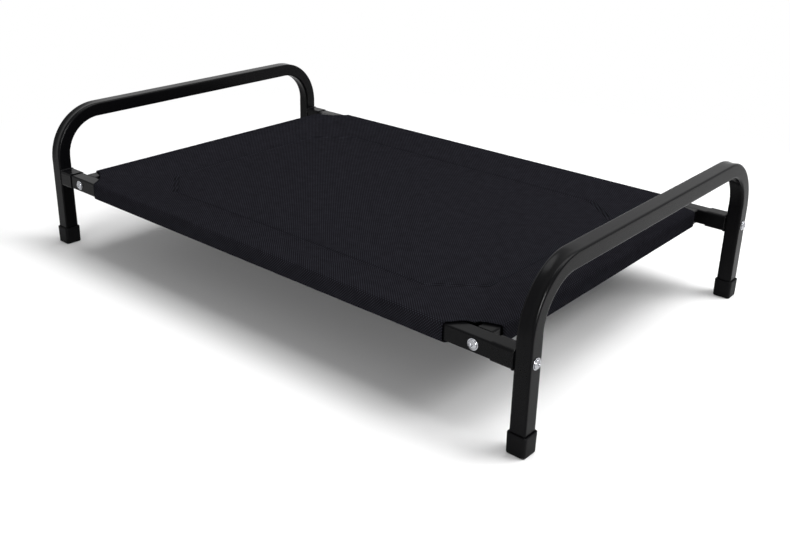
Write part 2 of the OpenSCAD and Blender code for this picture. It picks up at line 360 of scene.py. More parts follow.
def moulded_rubber(name, colour, roughness):
    """Moulded rubber or nylon: dull, with a fine spark-eroded grain."""
    material, tree, output = new_material(name)
    place = add_node(tree, "ShaderNodeTexCoord").outputs["Object"]
    # Grain about 0.8 mm, drawn coarser than the real 0.2 mm so that it shows
    grain = add_node(tree, "ShaderNodeTexNoise", {"Vector": place, "Scale": 1 / (0.8 * MM), "Detail": 3.0})
    rough = add_node(tree, "ShaderNodeMapRange", {
        "Value": grain.outputs["Fac"], "To Min": roughness - 0.08, "To Max": roughness + 0.08})
    bump = add_node(tree, "ShaderNodeBump", {
        "Height": grain.outputs["Fac"], "Strength": 0.3, "Distance": 0.1 * MM})
    shader = add_node(tree, "ShaderNodeBsdfPrincipled", {
        "Base Color": (*colour, 1.0), "Roughness": rough.outputs["Result"],
        "Normal": bump.outputs["Normal"], "IOR": 1.5, "Specular IOR Level": 0.06})
    tree.links.new(shader.outputs["BSDF"], output.inputs["Surface"])
    return material


def zinc_plated_steel(colours):
    """Bright zinc plating on forged steel: shiny, with faint cloudy patches."""
    material, tree, output = new_material("zinc_plated_steel")
    place = add_node(tree, "ShaderNodeTexCoord").outputs["Object"]
    cloud = add_node(tree, "ShaderNodeTexNoise", {"Vector": place, "Scale": 1 / (3 * MM), "Detail": 4.0})
    rough = add_node(tree, "ShaderNodeMapRange", {
        "Value": cloud.outputs["Fac"], "To Min": 0.1, "To Max": 0.26})
    bump = add_node(tree, "ShaderNodeBump", {
        "Height": cloud.outputs["Fac"], "Strength": 0.15, "Distance": 0.1 * MM})
    shader = add_node(tree, "ShaderNodeBsdfPrincipled", {
        "Base Color": (*colours.zinc, 1.0), "Metallic": 1.0,
        "Roughness": rough.outputs["Result"], "Normal": bump.outputs["Normal"]})
    tree.links.new(shader.outputs["BSDF"], output.inputs["Surface"])
    return material


def coated_mesh_cloth(colours, sizes):
    """Plain-woven polyester with a soft plastic coat: each yarn is a dull ridge, with painted shade in the
    dark gap beside it.

    With A and B the sines of half a turn for each yarn along and across, a warp yarn stands
    sqrt|A| (1 + sign(A) B) / 2 high, a weft yarn sqrt|B| (1 - sign(B) A) / 2, and the higher shows.
    """
    material, tree, output = new_material("coated_mesh_cloth")

    def calculate(operation, first, second=0.0, third=0.0):
        return add_node(tree, "ShaderNodeMath", {0: first, 1: second, 2: third},
                        operation=operation).outputs[0]

    flat = add_node(tree, "ShaderNodeUVMap", uv_map="Cloth").outputs["UV"]
    wander = add_node(tree, "ShaderNodeTexNoise", {"Vector": flat, "Scale": 1 / (25 * MM), "Detail": 2.0})
    axes = add_node(tree, "ShaderNodeSeparateXYZ", {"Vector": flat})
    # Yarns 1.75 mm apart, drawn coarser than the real 1 mm so that the weave shows
    half_turn = math.pi / sizes.yarn_pitch
    waves = []
    for axis in ("X", "Y"):
        turned = calculate("MULTIPLY", axes.outputs[axis], half_turn)
        shifted = calculate("MULTIPLY_ADD", wander.outputs["Fac"], 0.8, turned)
        waves.append(calculate("SINE", shifted))
    ridges = []
    for across, along, sign in ((waves[0], waves[1], 0.5), (waves[1], waves[0], -0.5)):
        crown = calculate("SQRT", calculate("ABSOLUTE", across))
        lift = calculate("MULTIPLY", calculate("SIGN", across), along)
        ridges.append(calculate("MULTIPLY", crown, calculate("MULTIPLY_ADD", lift, sign, 0.5)))
    weave = calculate("MAXIMUM", ridges[0], ridges[1])
    # Batches of yarn differ a little, over some 12 mm
    batch = add_node(tree, "ShaderNodeTexNoise", {"Vector": flat, "Scale": 1 / (12 * MM), "Detail": 4.0})
    spread = add_node(tree, "ShaderNodeMapRange", {
        "Value": batch.outputs["Fac"], "From Min": 0.3, "From Max": 0.7, "To Min": 0.8, "To Max": 1.1})
    # Painted light: a cell where the warp lies on top is drawn lighter than one where the weft does, for
    # the light it catches
    checker = calculate("MULTIPLY", waves[0], waves[1])
    cell = add_node(tree, "ShaderNodeMapRange", {
        "Value": checker, "From Min": -0.5, "From Max": 0.5, "To Min": 0.16, "To Max": 1.0})
    lit = calculate("MULTIPLY", weave, cell.outputs["Result"])
    shown = calculate("MULTIPLY", lit, spread.outputs["Result"])
    # Painted shade: the colour falls from the yarn's to the gap's as the weave sinks, for the shade
    # between the yarns
    tint = add_node(tree, "ShaderNodeMix", data_type="RGBA")
    tree.links.new(shown, tint.inputs["Factor"])
    tint.inputs[6].default_value = (*colours.painted_gap_shade, 1.0)
    tint.inputs[7].default_value = (*colours.yarn, 1.0)
    bump = add_node(tree, "ShaderNodeBump", {"Height": weave, "Strength": 0.7, "Distance": 0.5 * MM})
    shader = add_node(tree, "ShaderNodeBsdfPrincipled", {
        "Base Color": tint.outputs[2], "Roughness": 0.75, "Normal": bump.outputs["Normal"],
        "IOR": 1.45, "Specular IOR Level": 0.0})
    tree.links.new(shader.outputs["BSDF"], output.inputs["Surface"])
    return material


def polyester_thread(colours):
    """Twisted polyester sewing thread: dull, with the ribs of its twist."""
    material, tree, output = new_material("polyester_thread")
    place = add_node(tree, "ShaderNodeTexCoord").outputs["Object"]
    twist = add_node(tree, "ShaderNodeTexWave", {
        "Vector": place, "Scale": 1 / (6 * MM), "Distortion": 1.0}, bands_direction="DIAGONAL")
    bump = add_node(tree, "ShaderNodeBump", {
        "Height": twist.outputs["Fac"], "Strength": 0.4, "Distance": 0.1 * MM})
    shader = add_node(tree, "ShaderNodeBsdfPrincipled", {
        "Base Color": (*colours.thread, 1.0), "Roughness": 0.7, "Normal": bump.outputs["Normal"],
        "IOR": 1.45, "Specular IOR Level": 0.2})
    tree.links.new(shader.outputs["BSDF"], output.inputs["Surface"])
    return material


def finish_of(name, make, *details):
    """The material of that name, made when it is first asked for."""
    return bpy.data.materials.get(name) or make(*details)


# Shapes

def end_frame_part(side_x, sizes):
    """Square tube carried up one leg, round a bend, along the top bar and down the other leg.

    The tube's outward direction turns from +Y through +Z to -Y. In a bend its inner and outer
    walls are pressed in by a cosine across the wall, as bending does to a thin tube.
    """
    half = TUBE_W / 2
    axis_radius = sizes.bend_radius - half
    bend_y = FRAME_HIGH.y - sizes.bend_radius
    bend_z = FRAME_HIGH.z - sizes.bend_radius
    leg = np.linspace(FRAME_LOW.z, bend_z, 12)[:-1]
    turn = np.linspace(0, np.pi / 2, 33)
    bar = np.linspace(bend_y, -bend_y, 24)[1:-1]
    path_y = np.concatenate([0 * leg + LEG_Y, bend_y + axis_radius * np.cos(turn), bar])
    path_z = np.concatenate([leg, bend_z + axis_radius * np.sin(turn), 0 * bar + bend_z + axis_radius])
    facing = np.concatenate([0 * leg, turn, 0 * bar + np.pi / 2])
    pressed = np.concatenate([0 * leg, np.sin(np.clip(turn * 2, 0, np.pi)) ** 0.6, 0 * bar])
    # The front leg and bend mirror the rear ones
    mirrored = len(leg) + len(turn)
    path_y = np.concatenate([path_y, -path_y[:mirrored][::-1]])
    path_z = np.concatenate([path_z, path_z[:mirrored][::-1]])
    facing = np.concatenate([facing, np.pi - facing[:mirrored][::-1]])
    pressed = np.concatenate([pressed, pressed[:mirrored][::-1]])
    # Bending also makes the tube's edges rounder
    edge = sizes.tube_edge + sizes.bend_opening * pressed
    section = rounded_square(half + 0 * edge, edge, 7, 8)
    out, across = section[..., 0], section[..., 1]
    flat_half = (half - edge)[:, None]
    wall = np.clip(np.cos(np.pi / 2 * across / flat_half), 0, 1) * (np.abs(out) > half - 0.001 * MM)
    # The outer wall sinks by the whole hollow and the inner wall by half of it
    share = np.where(out > 0, 1.0, 0.5)
    moved = out - np.sign(out) * wall * share * sizes.bend_hollow * pressed[:, None]
    points = np.stack([
        side_x * LEG_X + across,
        path_y[:, None] + moved * np.cos(facing)[:, None],
        path_z[:, None] + moved * np.sin(facing)[:, None]], -1)
    return outward(grid_part(points, closed=True, start_cap=True, end_cap=True))


def weld_bead_part(side_x, side_y, sizes, random):
    """Bead round the foot of a socket: a circle carried along the socket's outline, rippled as it goes."""
    half = (SOCKET_HIGH.z - SOCKET_LOW.z) / 2
    outline = rounded_square(half, sizes.socket_edge, 8, 26)[0]
    count = len(outline)
    away = outline / np.linalg.norm(outline, axis=1)[:, None]
    ripples = 30
    wave = np.sin(np.arange(count) * 2 * np.pi * ripples / count)
    ripple = 1 + 0.16 * wave + 0.08 * random.standard_normal(count)
    turn = np.linspace(0, 2 * np.pi, 13)[:-1]
    reach = sizes.weld_width * ripple[:, None]
    # The bead is a little lower than wide, and rests against the leg's inner face
    squash = 0.8
    middle_x = SOCKET_HIGH.x - 0.1 * MM - 0.9 * sizes.weld_width
    spread = outline[:, None] + away[:, None] * (reach * np.cos(turn) * squash)[..., None]
    points = np.stack([
        side_x * (middle_x + reach * np.sin(turn)),
        side_y * LEG_Y + spread[..., 0], RAIL_Z + spread[..., 1]], -1)
    points = np.concatenate([points, points[:1]])
    return outward(join_parts([grid_part(points, closed=True)]))


def foot_cap_part(side_x, side_y, sizes):
    """Cap from rounded squares stacked along Z: inner lip, round rim, drafted sides and round bottom."""
    half = (CAP_HIGH.x - CAP_LOW.x) / 2
    height = CAP_HIGH.z
    quarter = np.linspace(0, np.pi / 2, 6)
    rim_radius, foot_radius = 0.8 * MM, 1.4 * MM
    inside = TUBE_W / 2 + 0.1 * MM
    lip_low, lip_high = height - 3 * MM, height - 0.3 * MM
    level_half = np.concatenate([
        [inside, inside], half - rim_radius + rim_radius * np.sin(quarter),
        np.linspace(half, half - sizes.cap_draft, 8)[1:-1],
        half - sizes.cap_draft - foot_radius + foot_radius * np.cos(quarter), [half * 0.5]])
    level_z = np.concatenate([
        [lip_low, lip_high], height - rim_radius + rim_radius * np.cos(quarter),
        np.linspace(height - rim_radius, foot_radius, 8)[1:-1],
        foot_radius - foot_radius * np.sin(quarter), [0.0]])
    radius = np.minimum(sizes.cap_edge, level_half * 0.8)
    outline = rounded_square(level_half, radius)
    points = np.stack([
        side_x * LEG_X + outline[..., 0], side_y * LEG_Y + outline[..., 1],
        level_z[:, None] + 0 * outline[..., 0]], -1)
    return outward(grid_part(points, closed=True, start_cap=True, end_cap=True))


def turned_points(radius, height, origin, axis, turn=0.0, steps=64):
    """Profile of radius and height spun round an axis that stands on origin, from the angle turn."""
    out = np.array(axis, float)
    up = np.array([0.0, 0.0, 1.0])
    side = np.cross(up, out)
    angle = turn + np.linspace(0, 2 * np.pi, steps + 1)[:-1]
    flat = radius[..., None] * (np.cos(angle)[:, None] * side + np.sin(angle)[:, None] * up)[None]
    return np.array(origin) + flat + height[..., None] * out


def bolt_part(origin, axis, sizes, turn):
    """Round-head bolt: a dome cut by a cross recess with tapered ends, a rim, and the shank below.

    The recess is as deep as two ramps allow when they are multiplied: one from the sides of a
    slot and one from its end.
    """
    washer_t = WASHER_HIGH.x - WASHER_LOW.x
    head_radius = (BOLT_HIGH.z - BOLT_LOW.z) / 2
    top = BOLT_HIGH.x - FRAME_HIGH.x
    rim = washer_t + sizes.head_rim
    dome = top - rim
    sphere = (head_radius ** 2 + dome ** 2) / (2 * dome)
    # The rings are close together over the recess and further apart outside it
    ring = np.concatenate([np.linspace(0.05, 3.4, 34) * MM, np.linspace(3.5 * MM, head_radius, 8)])
    steps = 64
    angle = np.linspace(0, 2 * np.pi, steps + 1)[:-1]
    x, y = np.abs(ring[:, None] * np.cos(angle)), np.abs(ring[:, None] * np.sin(angle))
    along, across = np.maximum(x, y), np.minimum(x, y)
    side_slope, end_slope = 0.25 * MM, 1.2 * MM
    side_ramp = np.clip((sizes.recess_width / 2 - across) / side_slope + 0.5, 0, 1)
    end_ramp = np.clip((sizes.recess_length / 2 - along) / end_slope, 0, 1)
    deep = sizes.recess_depth * side_ramp * end_ramp
    dome_z = top - sphere + np.sqrt(sphere ** 2 - ring ** 2)
    face_height = dome_z[:, None] - deep
    shank = sizes.shank / 2
    # Under the dome: the head's chamfered lower edge, the shank and its tapered point
    chamfer, taper, point = 0.2 * MM, 0.7 * MM, 1 * MM
    below_radius = np.array([head_radius, head_radius - chamfer, shank, shank, shank - taper])
    below_height = washer_t + np.array([chamfer, 0, 0, point - sizes.bolt_length, -sizes.bolt_length])
    spun = np.zeros((len(below_radius), steps))
    radius = np.concatenate([ring[:, None] + 0 * face_height, below_radius[:, None] + spun])
    height = np.concatenate([face_height, below_height[:, None] + spun])
    points = turned_points(radius, height, origin, axis, turn, steps)
    return outward(grid_part(points, closed=True, start_cap=True, end_cap=True))


def washer_part(origin, axis, sizes):
    """Stamped washer: a flat ring whose upper edge is rolled and whose lower edge is sharp."""
    outer = (WASHER_HIGH.z - WASHER_LOW.z) / 2
    thick = WASHER_HIGH.x - WASHER_LOW.x
    bore_gap, roll = 0.2 * MM, 0.35 * MM
    inner = sizes.shank / 2 + bore_gap
    turn = np.linspace(0, np.pi / 2, 5)
    radius = np.concatenate([[inner, inner], outer - roll + roll * np.sin(turn), [outer, inner]])
    height = np.concatenate([[0.0, thick], thick - roll + roll * np.cos(turn), [0.0, 0.0]])
    spun = np.zeros((1, 64))
    points = turned_points(radius[:, None] + spun, height[:, None] + spun, origin, axis)
    return outward(join_parts([grid_part(points, closed=True)]))


class Cloth:
    """Places on the bed's cloth, worked out from the frame and the sizes."""

    # Steps of the mesh along a long side, a cut corner and an end
    long_steps, cut_steps, end_steps = 120, 14, 80
    # Distance of the cloth's drawn face from the rails
    stand_off = 1.3 * MM
    # Depth of the groove that a row of stitches pulls in, at its bottom and on its slopes
    groove, groove_slope = 1.3 * MM, 0.6 * MM
    # Depth of the stitches' own line in that groove
    stitch_sink = 0.9 * MM
    # Dip of the cloth at the scoops, between the seam and the rails, and in the middle
    corner_dip, slack, middle_sag = 1.0 * MM, 0.8 * MM, 0.9 * MM

    def __init__(self, sizes):
        self.sizes = sizes
        self.half_l, self.half_w = SHEET_HIGH.x, SHEET_HIGH.y
        self.top = SHEET_HIGH.z
        self.seam_top = SHEET_LOW.z + sizes.cloth_thickness
        self.scoop_x = self.half_l + sizes.scoop_out_x
        self.scoop_y = self.half_w + sizes.scoop_out_y

    def reach_x(self, y):
        """Half-length of the cloth at a distance y from its long axis, up to the scoop."""
        return self.scoop_x - np.sqrt(self.sizes.scoop_radius ** 2 - (self.scoop_y - y) ** 2)

    def reach_y(self, x):
        """Half-width of the cloth at a distance x from its short axis, up to the scoop."""
        return self.scoop_y - np.sqrt(self.sizes.scoop_radius ** 2 - (self.scoop_x - x) ** 2)

    def loop(self, long_y, long_x, end_x, end_y, arc=False):
        """Closed loop through eight corners: a long side, a cut corner, an end and so on.

        Where arc is true, the cut corners follow the scoop.
        """
        run = np.linspace(0, 1, self.cut_steps + 1)
        if arc:
            first = math.atan2(self.scoop_y - long_y, self.scoop_x - long_x)
            last = math.atan2(self.scoop_y - end_y, self.scoop_x - end_x)
            turn = first + (last - first) * run
            cut_x = self.scoop_x - self.sizes.scoop_radius * np.cos(turn)
            cut_y = self.scoop_y - self.sizes.scoop_radius * np.sin(turn)
        else:
            cut_x, cut_y = long_x + (end_x - long_x) * run, long_y + (end_y - long_y) * run
        long_run = np.linspace(-long_x, long_x, self.long_steps + 1)
        end_run = np.linspace(end_y, -end_y, self.end_steps + 1)
        rear = np.stack([long_run, long_y + 0 * long_run], -1)
        cut = np.stack([cut_x, cut_y], -1)
        end = np.stack([end_x + 0 * end_run, end_run], -1)
        half = np.concatenate([rear[:-1], cut[:-1], end[:-1], (cut * [1, -1])[::-1][:-1]])
        return np.concatenate([half, -half])

    def seam_loop(self, inset):
        """The seam's eight-sided outline moved inwards by inset."""
        x, y = self.sizes.seam_length / 2, self.sizes.seam_width / 2
        normal = np.array([self.sizes.seam_cut_width, self.sizes.seam_cut_length])
        normal = normal / np.linalg.norm(normal)
        offset = normal @ [x, y - self.sizes.seam_cut_width] - inset
        x, y = x - inset, y - inset
        return self.loop(y, (offset - normal[1] * y) / normal[0], x, (offset - normal[0] * x) / normal[1])

    def rail_loop(self):
        """Where the cloth leaves the rails: their inner edges, joined by the scoops."""
        return self.loop(EDGE_Y, self.reach_x(EDGE_Y), EDGE_X, self.reach_y(EDGE_X), arc=True)

    def pucker(self, points, amount):
        """Low waves that sewing leaves in the cloth: three sines, divided by their summed heights."""
        x, y = points[..., 0], points[..., 1]
        return amount * (np.sin(x * 95 + 2 * np.sin(y * 31)) + np.sin(y * 120 - 3 * np.sin(x * 23))
                         + 0.6 * np.sin((x + y) * 210)) / 2.6


def cloth_layer(cloth, seam_rows, seam_height, lower):
    """Cloth between the seam and the rails: a ruled surface from the seam's loop to the rails' loop.

    Its corners dip between the rails, as half a sine along the scoop. The rows at the seam are
    given by their insets and one height. The lower layer mirrors the upper one.
    """
    seam, rail = cloth.seam_loop(0), cloth.rail_loop()
    # Shares of the way from the seam to the rails, closer together at both
    share = np.array([
        0.02, 0.05, 0.1, 0.16, 0.24, 0.33, 0.42, 0.51, 0.6, 0.69, 0.78, 0.86, 0.92, 0.96, 0.985, 1.0])
    outer = seam + (rail - seam) * share[:, None, None]
    inner = np.stack([cloth.seam_loop(inset) for inset in seam_rows])
    flat = np.concatenate([inner, outer])
    rise = np.concatenate([np.zeros(len(seam_rows)), share])[:, None]
    dip = np.zeros(flat.shape[1])
    bow = np.sin(np.linspace(0, np.pi, cloth.cut_steps + 1))
    first = cloth.long_steps
    second = first + cloth.cut_steps + cloth.end_steps
    half = len(dip) // 2
    for start in (first, second, half + first, half + second):
        place = (start + np.arange(cloth.cut_steps + 1)) % len(dip)
        dip[place] = bow
    ease = np.sin(np.pi * rise)
    height = cloth.seam_top + (cloth.top - cloth.seam_top) * rise
    height = height - cloth.corner_dip * dip * rise ** 4 - cloth.slack * ease
    height = height + cloth.pucker(flat, 0.35 * MM) * ease
    height[:len(seam_rows)] += seam_height
    if lower:
        layer_gap = 0.05 * MM
        height = 2 * RAIL_Z - height - layer_gap
    points = np.concatenate([flat, height[..., None]], -1)
    if lower:
        points, flat = points[::-1], flat[::-1]
    return grid_part(points[:, ::-1], closed=True, uv=flat[:, ::-1])


def cloth_middle(cloth):
    """Middle of the bed: the seam's loop drawn in to the centre, with two sunk rows of stitches."""
    # Insets of the rings in millimetres: two grooves with a low ridge between them, and the rest
    gap = cloth.sizes.seam_gap / MM
    outer_groove, ridge = [0, 0.8, 1.6], [gap / 2]
    inner_groove = [gap - 1.6, gap - 0.8, gap, gap + 0.8, gap + 1.8]
    insets = outer_groove + ridge + inner_groove + [gap + 4, 14, 22, 34, 48, 60]
    sunk = np.zeros(len(insets))
    sunk[[0, 6]] = -cloth.groove
    sunk[[1, 5, 7]] = -cloth.groove_slope
    sunk[3] = 0.1 * MM
    rings = np.stack([cloth.seam_loop(inset * MM) for inset in insets])
    shares = np.array([0.85, 0.7, 0.55, 0.4, 0.27, 0.15, 0.05])
    flat = np.concatenate([rings, rings[-1] * shares[:, None, None]])
    sunk = np.concatenate([sunk, 0 * shares])
    half_l, half_w = cloth.sizes.seam_length / 2, cloth.sizes.seam_width / 2
    sag = np.clip(1 - (flat[..., 0] / half_l) ** 2, 0, 1) * np.clip(1 - (flat[..., 1] / half_w) ** 2, 0, 1)
    waves = cloth.pucker(flat, 0.3 * MM) * np.clip(sag * 4, 0, 1)
    height = cloth.seam_top + sunk[:, None] - cloth.middle_sag * sag + waves
    points = np.concatenate([flat, height[..., None]], -1)
    return grid_part(points, closed=True, end_cap=True, uv=flat)


def wrap_profile(cloth, edge, outer):
    """Section of the cloth round a rail: distance from the bed's middle, height and length along it."""
    roll = cloth.sizes.tube_edge + cloth.stand_off
    low = 2 * RAIL_Z - cloth.top
    turn = np.linspace(0, np.pi / 2, 8)
    flat = np.linspace(edge, outer - roll, 7)
    down = np.linspace(cloth.top - roll, low + roll, 8)[1:-1]
    away = np.concatenate([
        flat[:-1], outer - roll + roll * np.sin(turn), 0 * down + outer,
        outer - roll + roll * np.cos(turn), flat[:-1][::-1]])
    height = np.concatenate([
        0 * flat[:-1] + cloth.top, cloth.top - roll + roll * np.cos(turn), down,
        low + roll - roll * np.sin(turn), 0 * flat[:-1] + low])
    length = np.concatenate([[0], np.cumsum(np.hypot(np.diff(away), np.diff(height)))])
    return away, height, length


def side_wrap(cloth, side):
    """Cloth round a long rail: the wrap's section run along X between the scoops."""
    away, height, length = wrap_profile(cloth, EDGE_Y, cloth.half_w)
    run = np.linspace(-1, 1, cloth.long_steps + 1)
    x = cloth.reach_x(away)[:, None] * run
    points = np.stack([x, side * away[:, None] + 0 * x, height[:, None] + 0 * x], -1)
    uv = np.stack([x, side * (EDGE_Y + length[:, None]) + 0 * x], -1)
    if side > 0:
        points, uv = points[:, ::-1], uv[:, ::-1]
    return grid_part(points, uv=uv)


def end_wrap(cloth, side):
    """Cloth round a cross rail: the wrap's section run along Y between the scoops."""
    away, height, length = wrap_profile(cloth, EDGE_X, cloth.half_l)
    run = np.linspace(-1, 1, cloth.end_steps + 1)
    y = cloth.reach_y(away)[:, None] * run
    points = np.stack([side * away[:, None] + 0 * y, y, height[:, None] + 0 * y], -1)
    uv = np.stack([side * (EDGE_X + length[:, None]) + 0 * y, y], -1)
    if side < 0:
        points, uv = points[:, ::-1], uv[:, ::-1]
    return grid_part(points, uv=uv)


def spaced(line, pitch, closed):
    """Middles and directions of stitches set at equal steps along a line of points."""
    if closed:
        line = np.concatenate([line, line[:1]])
    travelled = np.concatenate([[0], np.cumsum(np.linalg.norm(np.diff(line, axis=0), axis=1))])
    count = int(travelled[-1] / pitch)
    at = (np.arange(count) + 0.5) * travelled[-1] / count
    middle = np.stack([np.interp(at, travelled, line[:, i]) for i in range(3)], -1)
    ahead = np.stack([np.interp(at + 0.5 * MM, travelled, line[:, i]) for i in range(3)], -1)
    behind = np.stack([np.interp(at - 0.5 * MM, travelled, line[:, i]) for i in range(3)], -1)
    direction = ahead - behind
    return middle, direction / np.linalg.norm(direction, axis=1)[:, None]


def stitches_part(line, normal, sizes, random, closed=True):
    """Row of stitches: each a thread of six sides bent in an arch, its ends sunk in the cloth."""
    middle, direction = spaced(line, sizes.stitch_pitch, closed)
    count = len(middle)
    normal = np.broadcast_to(np.array(normal, float), middle.shape)
    side = np.cross(normal, direction)
    lean = 0.08 * random.standard_normal((count, 1))
    direction = direction + lean * side
    run = np.linspace(-1, 1, 5)
    turn = np.linspace(0, 2 * np.pi, 7)[:-1]
    thick = sizes.thread * np.array([0.55, 0.95, 1.0, 0.95, 0.55])
    arch = sizes.thread * np.array([-1.2, 0.1, 0.5, 0.1, -1.2])
    along = sizes.stitch_length / 2 * run[:, None] + 0 * turn
    over = thick[:, None] * np.cos(turn)
    up = arch[:, None] + thick[:, None] * np.sin(turn)
    points = (middle[:, None, None] + along[..., None] * direction[:, None, None]
              + over[..., None] * side[:, None, None] + up[..., None] * normal[:, None, None])
    template = outward(grid_part(points[0], closed=True, start_cap=True, end_cap=True))
    size = len(template[0])
    hubs = points[:, [0, -1]].mean(2)
    flat = np.concatenate([points.reshape(count, -1, 3), hubs], 1).reshape(-1, 3)
    first = np.arange(count)[:, None, None] * size
    return flat, (template[1] + first).reshape(-1, 4), (template[2] + first).reshape(-1, 3), None


# Operators

class DOGBED_OT_steel(bpy.types.Operator):
    """Bent tubes of the end frames, and the powder coat of the rails and sockets"""
    bl_idname = "dogbed.steel"
    bl_label = "Steel Frame"

    def execute(self, context):
        scene = context.scene
        steel = finish_of("black_powder_coat", powder_coated_steel, scene.dog_bed_colours)
        for side_x in SIDES:
            node = f"{SIDE_X[side_x]}_end_frame"
            part = end_frame_part(side_x, scene.dog_bed_sizes)
            add_piece(f"{SIDE_X[side_x]}_bent_tube", part, steel, [node])
        kept = [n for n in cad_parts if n.startswith("socket_") or n.endswith("_rail")]
        dress(kept, steel)
        return {"FINISHED"}


class DOGBED_OT_plugs(bpy.types.Operator):
    """Moulded plugs inside the ends of the rails"""
    bl_idname = "dogbed.plugs"
    bl_label = "Rail Plugs"

    def execute(self, context):
        colour = context.scene.dog_bed_colours.nylon
        nylon = finish_of("moulded_nylon", moulded_rubber, "moulded_nylon", colour, 0.45)
        dress([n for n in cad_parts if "_plug_" in n], nylon)
        return {"FINISHED"}


class DOGBED_OT_welds(bpy.types.Operator):
    """Painted weld beads where the sockets meet the legs"""
    bl_idname = "dogbed.welds"
    bl_label = "Weld Beads"

    def execute(self, context):
        scene = context.scene
        steel = finish_of("black_powder_coat", powder_coated_steel, scene.dog_bed_colours)
        random = np.random.default_rng(4)
        for corner in CORNERS:
            part = weld_bead_part(*corner, scene.dog_bed_sizes, random)
            add_piece(corner_name("weld_bead", *corner), part, steel, ())
        return {"FINISHED"}


class DOGBED_OT_foot_caps(bpy.types.Operator):
    """Moulded caps on the feet"""
    bl_idname = "dogbed.foot_caps"
    bl_label = "Foot Caps"

    def execute(self, context):
        scene = context.scene
        colour = scene.dog_bed_colours.rubber
        rubber = finish_of("moulded_rubber", moulded_rubber, "moulded_rubber", colour, 0.5)
        for corner in CORNERS:
            part = foot_cap_part(*corner, scene.dog_bed_sizes)
            add_piece(corner_name("moulded_foot", *corner), part, rubber,
                      [corner_name("foot_cap", *corner)])
        return {"FINISHED"}


class DOGBED_OT_fasteners(bpy.types.Operator):
    """Bolts and washers on the legs and on the long rails"""
    bl_idname = "dogbed.fasteners"
    bl_label = "Bolts and Washers"

    def execute(self, context):
        scene = context.scene
        sizes = scene.dog_bed_sizes
        zinc = finish_of("zinc_plated_steel", zinc_plated_steel, scene.dog_bed_colours)
        random = np.random.default_rng(7)
        for side_x, side_y in CORNERS:
            places = {
                "leg": ((side_x * FRAME_HIGH.x, side_y * LEG_Y, RAIL_Z), (side_x, 0, 0)),
                "rail": ((side_x * CROSS_X, side_y * RAIL_HIGH.y, RAIL_Z), (0, side_y, 0)),
            }
            for stem, (origin, axis) in places.items():
                turn = random.uniform(0, np.pi / 2)
                bolt_node = corner_name(f"{stem}_bolt", side_x, side_y)
                washer_node = corner_name(f"{stem}_washer", side_x, side_y)
                add_piece(bolt_node.replace("bolt", "screw"), bolt_part(origin, axis, sizes, turn),
                          zinc, [bolt_node])
                add_piece(washer_node.replace("washer", "ring"), washer_part(origin, axis, sizes),
                          zinc, [washer_node])
        return {"FINISHED"}


class DOGBED_OT_cloth(bpy.types.Operator):
    """Mesh cloth stretched over the rails, folded round them and sewn back to itself"""
    bl_idname = "dogbed.cloth"
    bl_label = "Cloth"

    def execute(self, context):
        scene = context.scene
        sizes = scene.dog_bed_sizes
        cloth = Cloth(sizes)
        finish = finish_of("coated_mesh_cloth", coated_mesh_cloth, scene.dog_bed_colours, sizes)
        parts = [cloth_middle(cloth), cloth_layer(cloth, [0], -cloth.groove, False)]
        parts += [side_wrap(cloth, side) for side in SIDES] + [end_wrap(cloth, side) for side in SIDES]
        lap = sizes.seam_lap
        parts.append(cloth_layer(cloth, [lap, lap * 0.6, lap * 0.3, 0], 0, True))
        piece = add_piece("bed_cloth", join_parts(parts), finish,
                          ["bed_sheet", "front_sleeve", "rear_sleeve", "left_sleeve", "right_sleeve"])
        solid = piece.modifiers.new("Thickness", "SOLIDIFY")
        solid.thickness = sizes.cloth_thickness
        solid.offset = -1
        solid.use_rim = True
        return {"FINISHED"}


class DOGBED_OT_stitching(bpy.types.Operator):
    """Two rows of stitches round the middle of the bed, and a row along each scoop"""
    bl_idname = "dogbed.stitching"
    bl_label = "Stitching"

    def execute(self, context):
        scene = context.scene
        sizes = scene.dog_bed_sizes
        cloth = Cloth(sizes)
        thread = finish_of("polyester_thread", polyester_thread, scene.dog_bed_colours)
        random = np.random.default_rng(11)
        for name, inset in (("outer", 0.0), ("inner", sizes.seam_gap)):
            loop = cloth.seam_loop(inset)
            for face, height, normal in (
                    ("top", cloth.seam_top - cloth.stitch_sink, (0, 0, 1)),
                    ("under", 2 * RAIL_Z - cloth.seam_top, (0, 0, -1))):
                line = np.concatenate([loop, np.full((len(loop), 1), height)], 1)
                part = stitches_part(line, normal, sizes, random)
                add_piece(f"seam_stitches_{name}_{face}", part, thread, ())
        hem = sizes.scoop_radius + sizes.hem_width
        # The hem's row stops short of the cloth's edges, and falls with the cloth inside the rails
        margin, slope, lift = 2 * MM, 0.45, 0.05 * MM
        for side_x, side_y in CORNERS:
            first = math.asin((cloth.scoop_y - cloth.half_w + margin) / hem)
            last = math.acos((cloth.scoop_x - cloth.half_l + margin) / hem)
            turn = np.linspace(first, last, 60)
            x = cloth.scoop_x - hem * np.cos(turn)
            y = cloth.scoop_y - hem * np.sin(turn)
            depth = np.clip(np.minimum(EDGE_X - x, EDGE_Y - y), 0, None)
            z = cloth.top - slope * depth + lift
            line = np.stack([side_x * x, side_y * y, z], -1)
            part = outward(stitches_part(line, (0, 0, 1), sizes, random, False))
            add_piece(corner_name("hem_stitches", side_x, side_y), part, thread, ())
        return {"FINISHED"}


